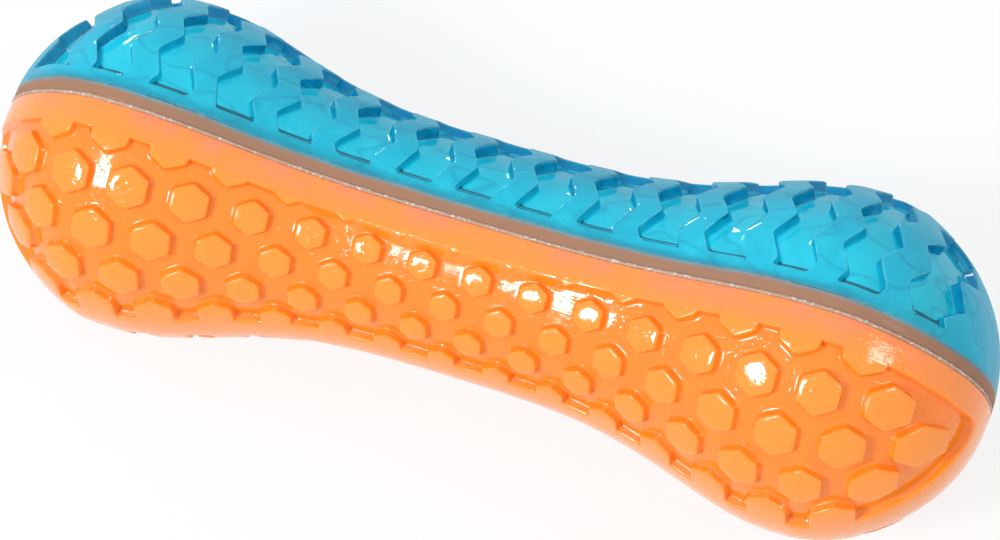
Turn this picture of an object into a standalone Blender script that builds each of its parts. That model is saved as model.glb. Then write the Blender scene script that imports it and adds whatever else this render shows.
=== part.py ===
"""Dumbbell chew toy: two moulded half shells glued on a lengthwise seam, with a squeaker inside.

The toy lies on its seam. X runs along its length, +Y is the clear blue tread half,
-Y the solid orange stud half, and Z=0 is the surface that it rests on.
All sizes are in metres, and angles are in degrees unless a name says otherwise.
"""

import math

import bmesh
import bpy
import numpy
from mathutils import Vector
from mathutils.geometry import delaunay_2d_cdt

# Body outline
LENGTH = 0.190
BULB_RADIUS = 0.0315
GRIP_RADIUS = 0.0219
BULB_TO_END = 0.0285
BULB_FLAT = 0.005
WAIST_POWER = 1.70
END_POWER = 1.49
END_ROUNDNESS = 2.19

# Seam: a tongue on the stud half stands inside a lip on the tread half
WALL = 0.0055
LIP_WIDTH = 0.0015
TONGUE_HEIGHT = 0.0030
TONGUE_FIT = 0.0002
TONGUE_HEAD_ROOM = 0.0003
GLUE_LINE = 0.0006
GLUE_SKIN = 0.0001
GLUE_RECESS = 0.0004

# Bands that frame the patterns on both halves
SEAM_BAND = 0.0048
SEAM_ANGLE_LIMIT = 13.0
CROWN_BAND = 0.0042
CROWN_BAND_AT_END = 0.0060
END_BAND = 0.0030

# Hexagon studs on the stud half
STUD_PITCH = 0.01045
STUD_STRETCH = 7.7e-6
STUD_ROW_START = 8.2
STUD_ROW_STEP = 17.25
STUD_ROWS = 5
EDGE_ROW_BAND = 0.0060
ROW_EDGE_ANGLE = 2.0
STUD_FLATS_RATIO = 0.232
STUD_HEIGHT = 0.0016
STUD_DRAFT = 0.0004

# Zigzag tread on the tread half
TREAD_PITCH = 0.0114
TREAD_STRETCH = 9.5e-6
TREAD_PHASE = 0.0022
POCKET_WIDTH = 0.0070
POCKET_DEPTH = 0.0022
POCKET_DRAFT = 0.00035
ZIG_OFFSET = 0.0027
ZIG_HALF_PERIOD = 0.0053
ZIG_ANCHOR = 42.5

# Squeaker: a soft bulb lying along X in the stud half, in the +X bulb
SQUEAKER_INSET = 0.0035
SQUEAKER_CLEARANCE = 0.0004
BARREL_RADIUS = 0.0100
BARREL_LENGTH = 0.0260
BARREL_ROUND = 0.0040
SKIN = 0.0010
NECK_RADIUS = 0.0074
NECK_LENGTH = 0.0070
COLLAR_FIT = 0.0003
COLLAR_WALL = 0.0011
COLLAR_FLANGE = 0.0012
FLANGE_RADIUS = 0.0082
INSERT_FIT = 0.0003
INSERT_LENGTH = 0.0130
SLOT_WIDTH = 0.0030
SLOT_DEPTH = 0.0022
SLOT_END_WALL = 0.0016
CLAMP_LENGTH = 0.0036
REED_THICKNESS = 0.0003
REED_WIDTH = 0.0042
REED_GAP = 0.0003
REED_TIP_MARGIN = 0.0012
REED_ROOT_MARGIN = 0.0005

# Cradle webs that hold the squeaker in the stud half
WEB_THICKNESS = 0.0020
WEB_SPACING = 0.0130
WEB_HALF_WIDTH = 0.0140
WEB_GRIP = 0.0035
WEB_ROOT = 0.0012
CRADLE_FIT = 0.0003

# Facets
GRIP_STEPS = 11
END_STEPS = 9
CAVITY_STEPS = 12
ROUND_STEPS = 24
NOTCH_STEPS = 16
ARCH_STEPS = 8
CORNER_STEPS = 4
GRID_STEP_ANGLE = 18.0
GRID_CLEARANCE = 0.0016
CORNER_CLEARANCE = 0.0004
SEAM_CLEARANCE_RATIO = 1.3
LEAST_ZIG_SHARE = 0.2
ARC_STEPS = 400
SEARCH_STEPS = 40
POLE_SNAP = 1e-5
WELD = 2e-6
TINY = 1e-6

HALF_LENGTH = LENGTH / 2
BULB_STATION = HALF_LENGTH - BULB_TO_END
FLAT_START = BULB_STATION - BULB_FLAT / 2
FLAT_END = BULB_STATION + BULB_FLAT / 2
PATTERN_RADIUS = (BULB_RADIUS + GRIP_RADIUS) / 2
SQUEAKER_STATION = BULB_STATION - SQUEAKER_INSET
SQUEAKER_START = SQUEAKER_STATION - BARREL_LENGTH / 2
SQUEAKER_MOUTH = SQUEAKER_START - NECK_LENGTH
COLLAR_BACK = SQUEAKER_MOUTH - COLLAR_FIT - COLLAR_FLANGE


def meridian(x):
    """Radius of the body at station x, with the outward normal along X and along the radius."""
    away = abs(x)
    sign = 1.0 if x >= 0 else -1.0
    if away <= FLAT_START:
        share = away / FLAT_START
        swing = math.pi * share ** WAIST_POWER
        rise = BULB_RADIUS - GRIP_RADIUS
        radius = GRIP_RADIUS + rise * (0.5 - 0.5 * math.cos(swing))
        slope = 0.0
        if share > 0:
            slope = rise * 0.5 * math.sin(swing) * math.pi * WAIST_POWER
            slope *= share ** (WAIST_POWER - 1) / FLAT_START
        size = math.hypot(slope, 1.0)
        return radius, -sign * slope / size, 1.0 / size
    if away <= FLAT_END:
        return BULB_RADIUS, 0.0, 1.0
    reach = HALF_LENGTH - FLAT_END
    share = min((away - FLAT_END) / reach, 1.0)
    fall = (1.0 - share ** END_POWER) ** (1.0 / END_ROUNDNESS)
    along = END_POWER * share ** (END_POWER - 1) / reach
    across = END_ROUNDNESS * fall ** (END_ROUNDNESS - 1) / BULB_RADIUS
    size = math.hypot(along, across)
    return BULB_RADIUS * fall, sign * along / size, across / size


def seam_angle(x):
    """Half angle of the straight seam band at station x, in radians."""
    radius = meridian(x)[0]
    limit = math.radians(SEAM_ANGLE_LIMIT)
    if radius * math.sin(limit) <= SEAM_BAND:
        return limit
    return math.asin(SEAM_BAND / radius)


def cavity_radius(x):
    """Radius of the hollow inside the body at station x."""
    radius, _, across = meridian(x)
    return radius - WALL / across


def squeaker_drop():
    """Depth of the squeaker's axis below the seam: its flange and its end just clear the wall."""
    at_flange = cavity_radius(COLLAR_BACK) - FLANGE_RADIUS
    at_end = cavity_radius(SQUEAKER_STATION + BARREL_LENGTH / 2) - BARREL_RADIUS
    return min(at_flange, at_end) - SQUEAKER_CLEARANCE


AXIS_HEIGHT = BULB_RADIUS * math.cos(seam_angle(BULB_STATION))
SQUEAKER_DROP = squeaker_drop()


def wrap(x, angle, depth, side, floor=0.0):
    """Point on a half shell: angle 0 is the upper seam, pi the lower, and depth goes inwards."""
    radius, along, across = meridian(x)
    level = radius - depth * across
    flat = math.cos(seam_angle(x))
    rise = max(-flat, min(flat, math.cos(angle)))
    width = max(level * math.sin(angle), floor)
    return Vector((x - depth * along, side * width, AXIS_HEIGHT + level * rise))


def stations():
    """Stations along the body, closer together where the ends turn in."""
    half = [FLAT_START * i / GRIP_STEPS for i in range(1, GRIP_STEPS + 1)]
    reach = HALF_LENGTH - FLAT_END
    for i in range(END_STEPS + 1):
        half.append(FLAT_END + reach * math.sin(math.pi / 2 * i / END_STEPS))
    return [-x for x in reversed(half)] + [0.0] + half


def arc_table():
    """Stations from end to end, each with its distance from the middle along the skin."""
    half = [(0.0, 0.0)]
    for i in range(1, ARC_STEPS + 1):
        x = HALF_LENGTH * math.sin(math.pi / 2 * i / ARC_STEPS)
        before, arc = half[-1]
        arc += math.hypot(x - before, meridian(x)[0] - meridian(before)[0])
        half.append((x, arc))
    return [(-x, -arc) for x, arc in reversed(half[1:])] + half


STATIONS = stations()
ARC_AT_X, ARC_LENGTHS = zip(*arc_table())


def arc_of(x):
    """Distance of station x from the middle, along the skin."""
    return float(numpy.interp(x, ARC_AT_X, ARC_LENGTHS))


def station_of(arc):
    """Station at a distance from the middle along the skin, drawn to the pole where it is near."""
    x = float(numpy.interp(arc, ARC_LENGTHS, ARC_AT_X))
    return math.copysign(HALF_LENGTH, x) if HALF_LENGTH - abs(x) < POLE_SNAP else x


def crown_half_width(x):
    """Half width of the plain band along the crown, which widens where it turns down the ends."""
    share = max(0.0, (abs(x) - FLAT_END) / (HALF_LENGTH - FLAT_END))
    return CROWN_BAND + (CROWN_BAND_AT_END - CROWN_BAND) * share ** 2


def field_low(x):
    """Angle at which the pattern starts above the seam band."""
    radius = meridian(x)[0]
    return math.asin(min(1.0, SEAM_BAND / max(radius, TINY)))


def field_high(x):
    """Angle at which the pattern stops below the crown band."""
    radius = meridian(x)[0]
    return math.acos(min(1.0, crown_half_width(x) / max(radius, TINY)))


def field_corner():
    """Station where the seam band and the crown band meet on the end."""
    low = BULB_STATION
    high = HALF_LENGTH
    for _ in range(SEARCH_STEPS):
        middle = (low + high) / 2
        if field_low(middle) < field_high(middle):
            low = middle
        else:
            high = middle
    return low


def columns(pitch, stretch, before, after, offset=0.0, phase=0.0):
    """Stations of a pattern's columns: even in the grip, and wider apart towards the bulbs.

    Each column reaches before and after its station, and leaves the end bands plain.
    """
    limit = HALF_LENGTH - END_BAND
    count = math.ceil(HALF_LENGTH / pitch)
    found = []
    for i in range(-count, count + 1):
        step = i + offset
        x = phase + pitch * step + stretch * step ** 3
        if -limit < x - before and x + after < limit:
            found.append(x)
    return found


def mirrored(outline):
    """The same outline on the other side of the crown."""
    return [(x, math.pi - angle) for x, angle in outline]


def stud_field():
    """Outline of the sunk field between the seam band and the crown band."""
    corner = field_corner()
    inner = [x for x in STATIONS if abs(x) < corner - CORNER_CLEARANCE]
    lower = [(x, field_low(x)) for x in inner]
    upper = [(x, field_high(x)) for x in inner]
    left = [(-corner, field_low(-corner))]
    right = [(corner, field_low(corner))]
    return left + lower + right + upper[::-1]


def hexagon(x, angle):
    """Outline of one stud top: its size grows from the grip to the bulbs, and holds round the ends."""
    reach = STUD_FLATS_RATIO * meridian(min(abs(x), BULB_STATION))[0] / math.sqrt(3)
    least = math.radians(ROW_EDGE_ANGLE)
    corners = []
    for i in range(6):
        turn = math.radians(30 + 60 * i)
        station = x + reach * math.cos(turn)
        corner = angle + reach * math.sin(turn) / meridian(station)[0]
        corners.append((station, max(least, min(math.pi / 2 - least, corner))))
    return corners


def stud_outlines():
    """All stud tops between the upper seam and the crown, with their centres."""
    studs = []
    for row in range(STUD_ROWS):
        angle = math.radians(STUD_ROW_START + STUD_ROW_STEP * row)
        offset = 0.5 * (row % 2)
        reach = STUD_FLATS_RATIO * BULB_RADIUS / 2
        if row in (0, STUD_ROWS - 1):
            reach += EDGE_ROW_BAND
        for x in columns(STUD_PITCH, STUD_STRETCH, reach, reach, offset):
            studs.append(((x, angle), hexagon(x, angle)))
    return studs


def zigzag(x, low, high):
    """One wall of the tread from the seam band up to the crown band."""
    half_period = ZIG_HALF_PERIOD / meridian(x)[0]
    anchor = math.radians(ZIG_ANCHOR)

    def shift(angle):
        share = (angle - anchor) / half_period
        nearest = 2 * round(share / 2)
        return x + ZIG_OFFSET * abs(share - nearest)

    chain = [(shift(low), low)]
    first = math.ceil((low - anchor) / half_period)
    last = math.floor((high - anchor) / half_period)
    least = LEAST_ZIG_SHARE * half_period
    for step in range(first, last + 1):
        angle = anchor + step * half_period
        if low + least < angle < high - least:
            chain.append((shift(angle), angle))
    chain.append((shift(high), high))
    return chain


def pocket_outlines():
    """Zigzag pockets between the upper seam and the crown, one between each two ribs."""
    pockets = []
    for right in columns(TREAD_PITCH, TREAD_STRETCH, POCKET_WIDTH, ZIG_OFFSET, phase=TREAD_PHASE):
        left = right - POCKET_WIDTH
        near = zigzag(left, field_low(left), field_high(left))
        far = zigzag(right, field_low(right), field_high(right))
        pockets.append(near + far[::-1])
    return pockets


def inside(point, outline):
    """Whether a point lies inside a closed outline."""
    x, y = point
    hit = False
    previous = outline[-1]
    for current in outline:
        if (current[1] > y) != (previous[1] > y):
            cross = (previous[0] - current[0]) * (y - current[1]) / (previous[1] - current[1])
            if x < cross + current[0]:
                hit = not hit
        previous = current
    return hit


def gap_to(point, outline):
    """Least distance from a point to the edges of a closed outline, laid out flat."""
    spot = Vector(point)
    least = 1.0
    previous = Vector(outline[-1])
    for corner in outline:
        current = Vector(corner)
        edge = current - previous
        share = max(0.0, min(1.0, (spot - previous).dot(edge) / max(edge.length_squared, 1e-12)))
        least = min(least, (previous + edge * share - spot).length)
        previous = current
    return least


class Layout:
    """The half shell's outer skin laid out flat, with the arc along it and the turn across it."""

    def __init__(self):
        self.points = []
        self.edges = []

    def flat(self, place):
        return (arc_of(place[0]), place[1] * PATTERN_RADIUS)

    def chain(self, places, closed=False):
        """Adds a run of points joined by edges."""
        start = len(self.points)
        self.points += [self.flat(place) for place in places]
        count = len(places)
        self.edges += [(start + i, start + i + 1) for i in range(count - 1)]
        if closed:
            self.edges.append((start + count - 1, start))

    def spot(self, place):
        """Adds a single point."""
        self.points.append(self.flat(place))

    def faces(self):
        """Triangles between the points, with every chain kept as edges."""
        scaled = [Vector((1000 * x, 1000 * y)) for x, y in self.points]
        result = delaunay_2d_cdt(scaled, self.edges, [], 0, 1e-5)
        corners = [(vert.x / 1000, vert.y / 1000) for vert in result[0]]
        return corners, result[2]


def frame_layout(layout):
    """Seams, poles, the edges of the straight seam band and the line of the crown."""
    inner = STATIONS[1:-1]
    layout.chain([(x, 0.0) for x in STATIONS])
    layout.chain([(x, math.pi) for x in STATIONS])
    turns = [math.radians(GRID_STEP_ANGLE * i) for i in range(1, round(180 / GRID_STEP_ANGLE))]
    for end in (-HALF_LENGTH, HALF_LENGTH):
        layout.chain([(end, 0.0)] + [(end, turn) for turn in turns] + [(end, math.pi)])
    for reflect in (False, True):
        band = [(x, seam_angle(x)) for x in inner]
        layout.chain(mirrored(band) if reflect else band)
    layout.chain([(x, math.pi / 2) for x in inner])
    return turns


def skin(sunk_outlines, raised, depth, draft, side, floor):
    """Outer skin of a half shell with its pattern sunk in, wrapped onto the body."""
    layout = Layout()
    turns = frame_layout(layout)
    outlines = sunk_outlines + [outline for _, outline in raised]
    for outline in outlines:
        layout.chain(outline, closed=True)
    for centre, _ in raised:
        layout.spot(centre)
    flat_outlines = [[layout.flat(place) for place in outline] for outline in outlines]
    for x in STATIONS[1:-1]:
        for turn in turns:
            spot = layout.flat((x, turn))
            near_line = abs(turn - math.pi / 2) < math.radians(GRID_STEP_ANGLE / 3)
            near_seam = min(turn, math.pi - turn) < seam_angle(x) * SEAM_CLEARANCE_RATIO
            tight = any(gap_to(spot, outline) < GRID_CLEARANCE for outline in flat_outlines)
            if not (near_line or near_seam or tight):
                layout.spot((x, turn))

    corners, triangles = layout.faces()
    bm = bmesh.new()
    verts = [bm.verts.new((x, y, 0.0)) for x, y in corners]
    sunk = []
    flat_sunk = flat_outlines[:len(sunk_outlines)]
    flat_raised = flat_outlines[len(sunk_outlines):]
    for triangle in triangles:
        face = bm.faces.new([verts[i] for i in triangle])
        centre = face.calc_center_median().to_2d()
        low = any(inside(centre, outline) for outline in flat_sunk)
        if low and not any(inside(centre, outline) for outline in flat_raised):
            sunk.append(face)
    bmesh.ops.inset_region(bm, faces=sunk, thickness=draft, use_boundary=True, use_even_offset=True)
    for vert in {vert for face in sunk for vert in face.verts}:
        vert.co.z = -depth
    for vert in bm.verts:
        angle = max(0.0, min(math.pi, vert.co.y / PATTERN_RADIUS))
        vert.co = wrap(station_of(vert.co.x), angle, -vert.co.z, side, floor)
    return bm


def seam_loop(bm, depth, level, side):
    """Closed loop of points along the seam, at a depth below the skin and a height off the seam."""
    count = len(STATIONS)
    places = [(x, 0.0) for x in STATIONS]
    places += [(STATIONS[i], math.pi) for i in range(count - 2, 0, -1)]
    loop = []
    for x, angle in places:
        spot = wrap(x, angle, depth, side)
        loop.append(bm.verts.new((spot.x, level, spot.z)))
    return loop


def join_loops(bm, first, second):
    """Ring of faces between two loops of the same count."""
    count = len(first)
    for i in range(count):
        nxt = (i + 1) % count
        bm.faces.new((first[i], first[nxt], second[nxt], second[i]))


def line_cavity(bm, side, floor):
    """Inner skin of a half shell, turned about the body's axis."""
    rows = []
    for i in range(CAVITY_STEPS + 1):
        angle = math.pi * i / CAVITY_STEPS
        rows.append([bm.verts.new(wrap(x, angle, WALL, side, floor)) for x in STATIONS])
    for lower, upper in zip(rows, rows[1:]):
        for i in range(len(STATIONS) - 1):
            bm.faces.new((lower[i], lower[i + 1], upper[i + 1], upper[i]))


def finish(bm, name, material, origin=(0.0, 0.0, 0.0), smooth_angle=30.0):
    """Welds a mesh, turns its faces outwards and makes an object of it."""
    bmesh.ops.remove_doubles(bm, verts=bm.verts, dist=WELD)
    bmesh.ops.dissolve_degenerate(bm, dist=WELD, edges=bm.edges)
    bmesh.ops.recalc_face_normals(bm, faces=bm.faces)
    if bm.calc_volume(signed=True) < 0:
        bmesh.ops.reverse_faces(bm, faces=bm.faces)
    bmesh.ops.translate(bm, verts=bm.verts, vec=-Vector(origin))
    mesh = bpy.data.meshes.new(name)
    bm.to_mesh(mesh)
    bm.free()
    mesh.shade_smooth()
    mesh.set_sharp_from_angle(angle=math.radians(smooth_angle))
    part = bpy.data.objects.new(name, mesh)
    part.location = origin
    bpy.context.scene.collection.objects.link(part)
    if material is not None:
        mesh.materials.append(material)
    return part


def plastic(name, colour, roughness, transmission=0.0):
    """Moulded plastic or rubber of one colour."""
    material = bpy.data.materials.new(name)
    material.use_nodes = True
    shader = material.node_tree.nodes["Principled BSDF"]
    shader.inputs["Base Color"].default_value = (*colour, 1.0)
    shader.inputs["Roughness"].default_value = roughness
    shader.inputs["Metallic"].default_value = 0.0
    shader.inputs["Transmission Weight"].default_value = transmission
    return material


def make_tread_shell():
    """Blue half: zigzag pockets between ribs, and a lip round the seam."""
    upper = pocket_outlines()
    outlines = upper + [mirrored(outline) for outline in upper]
    bm = skin(outlines, [], POCKET_DEPTH, POCKET_DRAFT, 1, GLUE_LINE)
    seat = TONGUE_HEIGHT + TONGUE_HEAD_ROOM
    loops = [seam_loop(bm, 0.0, GLUE_LINE, 1)]
    loops.append(seam_loop(bm, LIP_WIDTH, GLUE_LINE, 1))
    loops.append(seam_loop(bm, LIP_WIDTH, seat, 1))
    loops.append(seam_loop(bm, WALL, seat, 1))
    for first, second in zip(loops, loops[1:]):
        join_loops(bm, first, second)
    line_cavity(bm, 1, seat)
    material = plastic("clear_blue_rubber", (0.02, 0.52, 0.75), 0.12, 0.6)
    return finish(bm, "tread_shell", material)


def make_stud_shell():
    """Orange half: hexagon studs in a sunk field, and a tongue round the seam."""
    upper = stud_outlines()
    studs = upper + [(mirrored([centre])[0], mirrored(outline)) for centre, outline in upper]
    field = stud_field()
    bm = skin([field, mirrored(field)], studs, STUD_HEIGHT, STUD_DRAFT, -1, 0.0)
    tongue = LIP_WIDTH + TONGUE_FIT
    loops = [seam_loop(bm, 0.0, 0.0, -1)]
    loops.append(seam_loop(bm, tongue, 0.0, -1))
    loops.append(seam_loop(bm, tongue, TONGUE_HEIGHT, -1))
    loops.append(seam_loop(bm, WALL, TONGUE_HEIGHT, -1))
    loops.append(seam_loop(bm, WALL, 0.0, -1))
    for first, second in zip(loops, loops[1:]):
        join_loops(bm, first, second)
    line_cavity(bm, -1, 0.0)
    material = plastic("orange_rubber", (1.0, 0.33, 0.07), 0.18)
    shell = finish(bm, "stud_shell", material)
    for number, offset in enumerate((-0.5, 0.5)):
        web = make_web(SQUEAKER_STATION + offset * WEB_SPACING, f"web_guide_{number}")
        joint = shell.modifiers.new(f"web_{number}", "BOOLEAN")
        joint.operation = "UNION"
        joint.solver = "EXACT"
        joint.object = web
    return shell


def make_web(x, name):
    """Cradle web across the stud half, notched round the squeaker, with its root in the wall."""
    radius, _, across = meridian(x)
    root = radius - WALL * across + WEB_ROOT
    notch = BARREL_RADIUS + CRADLE_FIT
    spread = math.asin(WEB_HALF_WIDTH / root)
    top = SQUEAKER_DROP - WEB_GRIP
    outline = [(-top, -WEB_HALF_WIDTH)]
    for i in range(ARCH_STEPS + 1):
        turn = -spread + 2 * spread * i / ARCH_STEPS
        outline.append((-root * math.cos(turn), root * math.sin(turn)))
    outline.append((-top, WEB_HALF_WIDTH))
    lift = math.asin(WEB_GRIP / notch)
    for i in range(NOTCH_STEPS + 1):
        turn = lift - (math.pi + 2 * lift) * i / NOTCH_STEPS
        outline.append((-SQUEAKER_DROP + notch * math.sin(turn), notch * math.cos(turn)))
    bm = bmesh.new()
    start = x - WEB_THICKNESS / 2
    face = bm.faces.new([bm.verts.new((start, y, AXIS_HEIGHT + z)) for y, z in outline])
    grown = bmesh.ops.extrude_face_region(bm, geom=[face])["geom"]
    moved = [item for item in grown if isinstance(item, bmesh.types.BMVert)]
    bmesh.ops.translate(bm, verts=moved, vec=(WEB_THICKNESS, 0.0, 0.0))
    guide = finish(bm, name, None)
    guide.hide_render = True
    guide.display_type = "WIRE"
    return guide


def make_seam_glue():
    """Bead of adhesive in the joint line between the two halves."""
    bm = bmesh.new()
    outer = GLUE_RECESS
    inner = LIP_WIDTH
    low = GLUE_SKIN
    high = GLUE_LINE - GLUE_SKIN
    loops = [seam_loop(bm, outer, low, 1), seam_loop(bm, outer, high, 1)]
    loops += [seam_loop(bm, inner, high, 1), seam_loop(bm, inner, low, 1)]
    for i in range(4):
        join_loops(bm, loops[i], loops[(i + 1) % 4])
    return finish(bm, "seam_glue", plastic("clear_glue", (0.55, 0.52, 0.46), 0.25))


def turn_profile(name, profile, material, closed):
    """Piece turned about the squeaker's axis from a run of (station, radius) points."""
    bm = bmesh.new()
    axis = Vector((0.0, -SQUEAKER_DROP, AXIS_HEIGHT))
    verts = [bm.verts.new(axis + Vector((x, 0.0, radius))) for x, radius in profile]
    edges = [bm.edges.new(pair) for pair in zip(verts, verts[1:])]
    if closed:
        edges.append(bm.edges.new((verts[-1], verts[0])))
    bmesh.ops.spin(
        bm,
        geom=verts + edges,
        cent=axis,
        axis=(1.0, 0.0, 0.0),
        angle=2 * math.pi,
        steps=ROUND_STEPS,
        use_merge=True,
    )
    return finish(bm, name, material)


def make_squeaker_bulb():
    """Soft bulb with an open neck."""
    end = SQUEAKER_STATION + BARREL_LENGTH / 2
    start = SQUEAKER_START
    profile = [(end, 0.0)]
    for i in range(CORNER_STEPS + 1):
        turn = math.radians(90 * i / CORNER_STEPS)
        x = end - BARREL_ROUND + BARREL_ROUND * math.cos(turn)
        profile.append((x, BARREL_RADIUS - BARREL_ROUND + BARREL_ROUND * math.sin(turn)))
    shoulder = BARREL_RADIUS - NECK_RADIUS
    profile.append((start + shoulder, BARREL_RADIUS))
    profile.append((start, NECK_RADIUS))
    profile.append((SQUEAKER_MOUTH, NECK_RADIUS))
    profile.append((SQUEAKER_MOUTH, NECK_RADIUS - SKIN))
    profile.append((start + SKIN / 2, NECK_RADIUS - SKIN))
    profile.append((start + shoulder + SKIN / 2, BARREL_RADIUS - SKIN))
    round_in = BARREL_ROUND - SKIN
    for i in range(CORNER_STEPS, -1, -1):
        turn = math.radians(90 * i / CORNER_STEPS)
        x = end - BARREL_ROUND + round_in * math.cos(turn)
        profile.append((x, BARREL_RADIUS - BARREL_ROUND + round_in * math.sin(turn)))
    profile.append((end - SKIN, 0.0))
    material = plastic("milky_polyethylene", (0.80, 0.80, 0.76), 0.35)
    return turn_profile("squeaker_bulb", profile, material, closed=False)


def make_squeaker_collar():
    """Hard sleeve pressed into the bulb's neck, with a flange on the mouth."""
    outer = NECK_RADIUS - SKIN - COLLAR_FIT
    inner = outer - COLLAR_WALL
    face = COLLAR_BACK + COLLAR_FLANGE
    tip = COLLAR_BACK + INSERT_LENGTH
    profile = [(COLLAR_BACK, inner), (COLLAR_BACK, FLANGE_RADIUS)]
    profile += [(face, FLANGE_RADIUS), (face, outer)]
    profile += [(tip - COLLAR_WALL, outer), (tip, outer - COLLAR_WALL / 2), (tip, inner)]
    material = plastic("white_polystyrene", (0.82, 0.82, 0.80), 0.3)
    return turn_profile("squeaker_collar", profile, material, closed=True)


def insert_radius():
    """Radius of the two half plugs that fill the collar."""
    return NECK_RADIUS - SKIN - COLLAR_FIT - COLLAR_WALL - INSERT_FIT


def half_plug(name, start, length, sign, material):
    """Half round plug with its flat towards the reed."""
    radius = insert_radius()
    flat = REED_THICKNESS / 2 + REED_GAP
    limit = math.acos(flat / radius)
    outline = []
    for i in range(ROUND_STEPS // 2 + 1):
        turn = -limit + 2 * limit * i / (ROUND_STEPS // 2)
        outline.append((sign * radius * math.cos(turn), radius * math.sin(turn)))
    bm = bmesh.new()
    verts = []
    for y, z in outline:
        verts.append(bm.verts.new((start, y - SQUEAKER_DROP, AXIS_HEIGHT + z)))
    face = bm.faces.new(verts)
    grown = bmesh.ops.extrude_face_region(bm, geom=[face])["geom"]
    moved = [item for item in grown if isinstance(item, bmesh.types.BMVert)]
    bmesh.ops.translate(bm, verts=moved, vec=(length, 0.0, 0.0))
    return finish(bm, name, material)


def make_box(name, low, high):
    """Plain box between two corners, for cutting."""
    bm = bmesh.new()
    bmesh.ops.create_cube(bm, size=1.0)
    size = Vector(high) - Vector(low)
    bmesh.ops.scale(bm, verts=bm.verts, vec=size)
    bmesh.ops.translate(bm, verts=bm.verts, vec=(Vector(low) + Vector(high)) / 2)
    cutter = finish(bm, name, None)
    cutter.hide_render = True
    cutter.display_type = "WIRE"
    return cutter


def make_reed_channel():
    """Lower half plug, with the air slot that the reed beats against."""
    material = plastic("black_polystyrene", (0.03, 0.03, 0.03), 0.3)
    plug = half_plug("reed_channel", COLLAR_BACK, INSERT_LENGTH, -1, material)
    flat = -SQUEAKER_DROP - REED_THICKNESS / 2 - REED_GAP
    end = COLLAR_BACK + INSERT_LENGTH - SLOT_END_WALL
    low = (COLLAR_BACK - SLOT_WIDTH, flat - SLOT_DEPTH, AXIS_HEIGHT - SLOT_WIDTH / 2)
    high = (end, flat + SLOT_DEPTH, AXIS_HEIGHT + SLOT_WIDTH / 2)
    cut = plug.modifiers.new("air_slot", "BOOLEAN")
    cut.operation = "DIFFERENCE"
    cut.solver = "EXACT"
    cut.object = make_box("air_slot_cutter", low, high)
    return plug


def make_reed_clamp():
    """Upper half plug, which holds the reed's root."""
    material = plastic("grey_polystyrene", (0.25, 0.25, 0.26), 0.35)
    return half_plug("reed_clamp", COLLAR_BACK, CLAMP_LENGTH, 1, material)


def make_squeaker_reed():
    """Thin springy strip with a rounded tip, hinged where the clamp lets go of it."""
    hinge = (COLLAR_BACK + CLAMP_LENGTH, -SQUEAKER_DROP, AXIS_HEIGHT)
    root = COLLAR_BACK + REED_ROOT_MARGIN
    tip = COLLAR_BACK + INSERT_LENGTH - REED_TIP_MARGIN
    half = REED_WIDTH / 2
    outline = [(root, -half)]
    for i in range(ARCH_STEPS + 1):
        turn = math.radians(-90 + 180 * i / ARCH_STEPS)
        outline.append((tip - half + half * math.cos(turn), half * math.sin(turn)))
    outline.append((root, half))
    bm = bmesh.new()
    level = -SQUEAKER_DROP - REED_THICKNESS / 2
    face = bm.faces.new([bm.verts.new((x, level, AXIS_HEIGHT + z)) for x, z in outline])
    grown = bmesh.ops.extrude_face_region(bm, geom=[face])["geom"]
    moved = [item for item in grown if isinstance(item, bmesh.types.BMVert)]
    bmesh.ops.translate(bm, verts=moved, vec=(0.0, REED_THICKNESS, 0.0))
    material = plastic("reed_film", (0.75, 0.72, 0.60), 0.25)
    return finish(bm, "squeaker_reed", material, origin=hinge)


def main():
    """Clears the scene and builds each piece."""
    for item in list(bpy.data.objects):
        bpy.data.objects.remove(item, do_unlink=True)
    make_tread_shell()
    make_stud_shell()
    make_seam_glue()
    make_squeaker_bulb()
    make_squeaker_collar()
    make_reed_channel()
    make_reed_clamp()
    make_squeaker_reed()


main()
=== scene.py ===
"""Dumbbell chew toy: a clear blue zigzag tread half glued to an orange hexagon stud half.

The toy lies on its seam. X runs along its length, +Y is the blue half, -Y the orange half,
and Z=0 is the surface that it rests on. Sizes are in metres, and turns are in radians.
"""

import logging
import math
from collections.abc import Iterable, Sequence
from dataclasses import dataclass, field
from enum import Enum
from functools import cached_property

import bmesh
import bpy
import numpy as np
from mathutils import Matrix, Vector, kdtree
from mathutils.geometry import delaunay_2d_cdt

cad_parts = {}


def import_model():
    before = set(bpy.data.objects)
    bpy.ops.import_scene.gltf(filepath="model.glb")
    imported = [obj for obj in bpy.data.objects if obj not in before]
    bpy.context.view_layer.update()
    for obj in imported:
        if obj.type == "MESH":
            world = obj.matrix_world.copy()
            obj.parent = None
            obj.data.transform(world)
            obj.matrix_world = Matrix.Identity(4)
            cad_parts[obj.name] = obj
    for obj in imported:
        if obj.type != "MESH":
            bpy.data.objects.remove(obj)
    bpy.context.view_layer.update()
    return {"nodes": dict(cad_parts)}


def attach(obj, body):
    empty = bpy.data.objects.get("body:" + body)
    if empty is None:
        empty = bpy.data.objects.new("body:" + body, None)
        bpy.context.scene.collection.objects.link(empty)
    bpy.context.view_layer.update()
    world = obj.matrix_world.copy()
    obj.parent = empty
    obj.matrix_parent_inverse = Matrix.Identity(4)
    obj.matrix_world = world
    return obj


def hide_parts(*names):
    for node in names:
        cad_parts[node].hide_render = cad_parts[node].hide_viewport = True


LOG = logging.getLogger("chew_toy")
MILLI = 0.001
WELD = 2e-6
POLE_WELD = 2e-5
POLE_ZONE = 0.088
SHARP_ANGLE = math.radians(50)
CROWN_TURN = math.pi / 2
CONVEX_HULL = 0

Place = tuple[float, float]
Outline = list[Place]
Colour = tuple[float, float, float, float]
Socket = bpy.types.NodeSocket


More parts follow.
